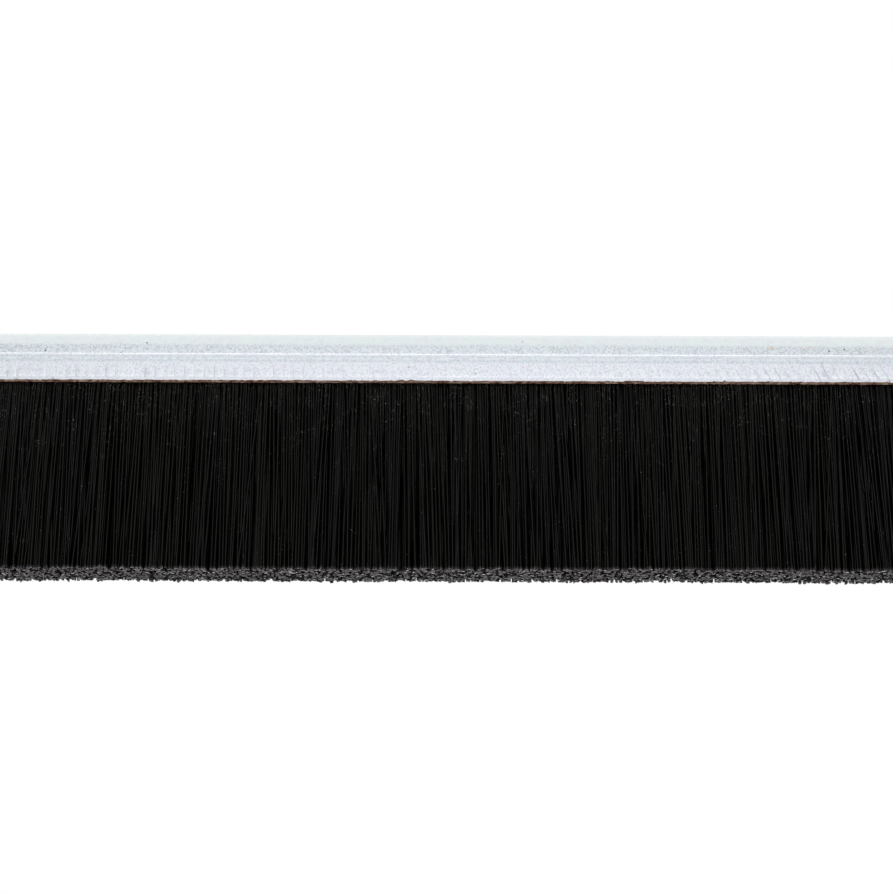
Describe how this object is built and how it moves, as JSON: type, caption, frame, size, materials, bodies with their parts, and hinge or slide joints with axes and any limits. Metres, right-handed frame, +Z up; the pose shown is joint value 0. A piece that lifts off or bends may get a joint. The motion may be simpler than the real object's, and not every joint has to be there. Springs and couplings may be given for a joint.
{
  "type": "door sweep",
  "caption": "Brush strip door sweep: a folded steel channel grips black filaments doubled over a core wire, and the bristles flex both ways as the door swings.",
  "frame": {"origin": "the top of the channel's crown, halfway along the sweep and midway between its two faces", "axes": "+X along the sweep, +Z up out of the channel's crown, -Y out of the front face; the filaments point down -Z"},
  "size_m": [1, 0.0056, 0.025],
  "materials": {
    "galvanised_steel": "bright galvanised strip, finely mottled, satin, with crimping-roller marks on the legs",
    "drawn_steel_wire": "drawn bright wire",
    "black_filament": "extruded black nylon filament, faint sheen, dull grey at the cut ends"
  },
  "bodies": {
    "channel": {"channel": "galvanised_steel", "core_wire": "drawn_steel_wire", "bristle_fold_01": "black_filament", "bristle_fold_02": "black_filament", "bristle_fold_03": "black_filament", "bristle_fold_04": "black_filament", "bristle_fold_05": "black_filament", "bristle_fold_06": "black_filament", "bristle_fold_07": "black_filament", "bristle_fold_08": "black_filament", "bristle_fold_09": "black_filament", "bristle_fold_10": "black_filament", "bristle_fold_11": "black_filament", "bristle_fold_12": "black_filament", "bristle_fold_13": "black_filament", "bristle_fold_14": "black_filament", "bristle_fold_15": "black_filament", "bristle_fold_16": "black_filament", "bristle_fold_17": "black_filament", "bristle_fold_18": "black_filament", "bristle_fold_19": "black_filament", "bristle_fold_20": "black_filament", "bristle_fold_21": "black_filament", "bristle_fold_22": "black_filament", "bristle_fold_23": "black_filament", "bristle_fold_24": "black_filament", "bristle_fold_25": "black_filament"},
    "bundle_01": {"bristle_bundle_01": "black_filament"},
    "bundle_02": {"bristle_bundle_02": "black_filament"},
    "bundle_03": {"bristle_bundle_03": "black_filament"},
    "bundle_04": {"bristle_bundle_04": "black_filament"},
    "bundle_05": {"bristle_bundle_05": "black_filament"},
    "bundle_06": {"bristle_bundle_06": "black_filament"},
    "bundle_07": {"bristle_bundle_07": "black_filament"},
    "bundle_08": {"bristle_bundle_08": "black_filament"},
    "bundle_09": {"bristle_bundle_09": "black_filament"},
    "bundle_10": {"bristle_bundle_10": "black_filament"},
    "bundle_11": {"bristle_bundle_11": "black_filament"},
    "bundle_12": {"bristle_bundle_12": "black_filament"},
    "bundle_13": {"bristle_bundle_13": "black_filament"},
    "bundle_14": {"bristle_bundle_14": "black_filament"},
    "bundle_15": {"bristle_bundle_15": "black_filament"},
    "bundle_16": {"bristle_bundle_16": "black_filament"},
    "bundle_17": {"bristle_bundle_17": "black_filament"},
    "bundle_18": {"bristle_bundle_18": "black_filament"},
    "bundle_19": {"bristle_bundle_19": "black_filament"},
    "bundle_20": {"bristle_bundle_20": "black_filament"},
    "bundle_21": {"bristle_bundle_21": "black_filament"},
    "bundle_22": {"bristle_bundle_22": "black_filament"},
    "bundle_23": {"bristle_bundle_23": "black_filament"},
    "bundle_24": {"bristle_bundle_24": "black_filament"},
    "bundle_25": {"bristle_bundle_25": "black_filament"}
  },
  "joints": [
    {"name": "bundle_01_flex", "type": "hinge", "parent": "channel", "child": "bundle_01", "pos_m": [-0.48, 0, -0.0067], "axis": [1, 0, 0], "range_deg": [-45, 45], "stiffness_Nm_per_rad": 0.2},
    {"name": "bundle_02_flex", "type": "hinge", "parent": "channel", "child": "bundle_02", "pos_m": [-0.44, 0, -0.0067], "axis": [1, 0, 0], "range_deg": [-45, 45], "stiffness_Nm_per_rad": 0.2},
    {"name": "bundle_03_flex", "type": "hinge", "parent": "channel", "child": "bundle_03", "pos_m": [-0.4, 0, -0.0067], "axis": [1, 0, 0], "range_deg": [-45, 45], "stiffness_Nm_per_rad": 0.2},
    {"name": "bundle_04_flex", "type": "hinge", "parent": "channel", "child": "bundle_04", "pos_m": [-0.36, 0, -0.0067], "axis": [1, 0, 0], "range_deg": [-45, 45], "stiffness_Nm_per_rad": 0.2},
    {"name": "bundle_05_flex", "type": "hinge", "parent": "channel", "child": "bundle_05", "pos_m": [-0.32, 0, -0.0067], "axis": [1, 0, 0], "range_deg": [-45, 45], "stiffness_Nm_per_rad": 0.2},
    {"name": "bundle_06_flex", "type": "hinge", "parent": "channel", "child": "bundle_06", "pos_m": [-0.28, 0, -0.0067], "axis": [1, 0, 0], "range_deg": [-45, 45], "stiffness_Nm_per_rad": 0.2},
    {"name": "bundle_07_flex", "type": "hinge", "parent": "channel", "child": "bundle_07", "pos_m": [-0.24, 0, -0.0067], "axis": [1, 0, 0], "range_deg": [-45, 45], "stiffness_Nm_per_rad": 0.2},
    {"name": "bundle_08_flex", "type": "hinge", "parent": "channel", "child": "bundle_08", "pos_m": [-0.2, 0, -0.0067], "axis": [1, 0, 0], "range_deg": [-45, 45], "stiffness_Nm_per_rad": 0.2},
    {"name": "bundle_09_flex", "type": "hinge", "parent": "channel", "child": "bundle_09", "pos_m": [-0.16, 0, -0.0067], "axis": [1, 0, 0], "range_deg": [-45, 45], "stiffness_Nm_per_rad": 0.2},
    {"name": "bundle_10_flex", "type": "hinge", "parent": "channel", "child": "bundle_10", "pos_m": [-0.12, 0, -0.0067], "axis": [1, 0, 0], "range_deg": [-45, 45], "stiffness_Nm_per_rad": 0.2},
    {"name": "bundle_11_flex", "type": "hinge", "parent": "channel", "child": "bundle_11", "pos_m": [-0.08, 0, -0.0067], "axis": [1, 0, 0], "range_deg": [-45, 45], "stiffness_Nm_per_rad": 0.2},
    {"name": "bundle_12_flex", "type": "hinge", "parent": "channel", "child": "bundle_12", "pos_m": [-0.04, 0, -0.0067], "axis": [1, 0, 0], "range_deg": [-45, 45], "stiffness_Nm_per_rad": 0.2},
    {"name": "bundle_13_flex", "type": "hinge", "parent": "channel", "child": "bundle_13", "pos_m": [0, 0, -0.0067], "axis": [1, 0, 0], "range_deg": [-45, 45], "stiffness_Nm_per_rad": 0.2},
    {"name": "bundle_14_flex", "type": "hinge", "parent": "channel", "child": "bundle_14", "pos_m": [0.04, 0, -0.0067], "axis": [1, 0, 0], "range_deg": [-45, 45], "stiffness_Nm_per_rad": 0.2},
    {"name": "bundle_15_flex", "type": "hinge", "parent": "channel", "child": "bundle_15", "pos_m": [0.08, 0, -0.0067], "axis": [1, 0, 0], "range_deg": [-45, 45], "stiffness_Nm_per_rad": 0.2},
    {"name": "bundle_16_flex", "type": "hinge", "parent": "channel", "child": "bundle_16", "pos_m": [0.12, 0, -0.0067], "axis": [1, 0, 0], "range_deg": [-45, 45], "stiffness_Nm_per_rad": 0.2},
    {"name": "bundle_17_flex", "type": "hinge", "parent": "channel", "child": "bundle_17", "pos_m": [0.16, 0, -0.0067], "axis": [1, 0, 0], "range_deg": [-45, 45], "stiffness_Nm_per_rad": 0.2},
    {"name": "bundle_18_flex", "type": "hinge", "parent": "channel", "child": "bundle_18", "pos_m": [0.2, 0, -0.0067], "axis": [1, 0, 0], "range_deg": [-45, 45], "stiffness_Nm_per_rad": 0.2},
    {"name": "bundle_19_flex", "type": "hinge", "parent": "channel", "child": "bundle_19", "pos_m": [0.24, 0, -0.0067], "axis": [1, 0, 0], "range_deg": [-45, 45], "stiffness_Nm_per_rad": 0.2},
    {"name": "bundle_20_flex", "type": "hinge", "parent": "channel", "child": "bundle_20", "pos_m": [0.28, 0, -0.0067], "axis": [1, 0, 0], "range_deg": [-45, 45], "stiffness_Nm_per_rad": 0.2},
    {"name": "bundle_21_flex", "type": "hinge", "parent": "channel", "child": "bundle_21", "pos_m": [0.32, 0, -0.0067], "axis": [1, 0, 0], "range_deg": [-45, 45], "stiffness_Nm_per_rad": 0.2},
    {"name": "bundle_22_flex", "type": "hinge", "parent": "channel", "child": "bundle_22", "pos_m": [0.36, 0, -0.0067], "axis": [1, 0, 0], "range_deg": [-45, 45], "stiffness_Nm_per_rad": 0.2},
    {"name": "bundle_23_flex", "type": "hinge", "parent": "channel", "child": "bundle_23", "pos_m": [0.4, 0, -0.0067], "axis": [1, 0, 0], "range_deg": [-45, 45], "stiffness_Nm_per_rad": 0.2},
    {"name": "bundle_24_flex", "type": "hinge", "parent": "channel", "child": "bundle_24", "pos_m": [0.44, 0, -0.0067], "axis": [1, 0, 0], "range_deg": [-45, 45], "stiffness_Nm_per_rad": 0.2},
    {"name": "bundle_25_flex", "type": "hinge", "parent": "channel", "child": "bundle_25", "pos_m": [0.48, 0, -0.0067], "axis": [1, 0, 0], "range_deg": [-45, 45], "stiffness_Nm_per_rad": 0.2}
  ]
}
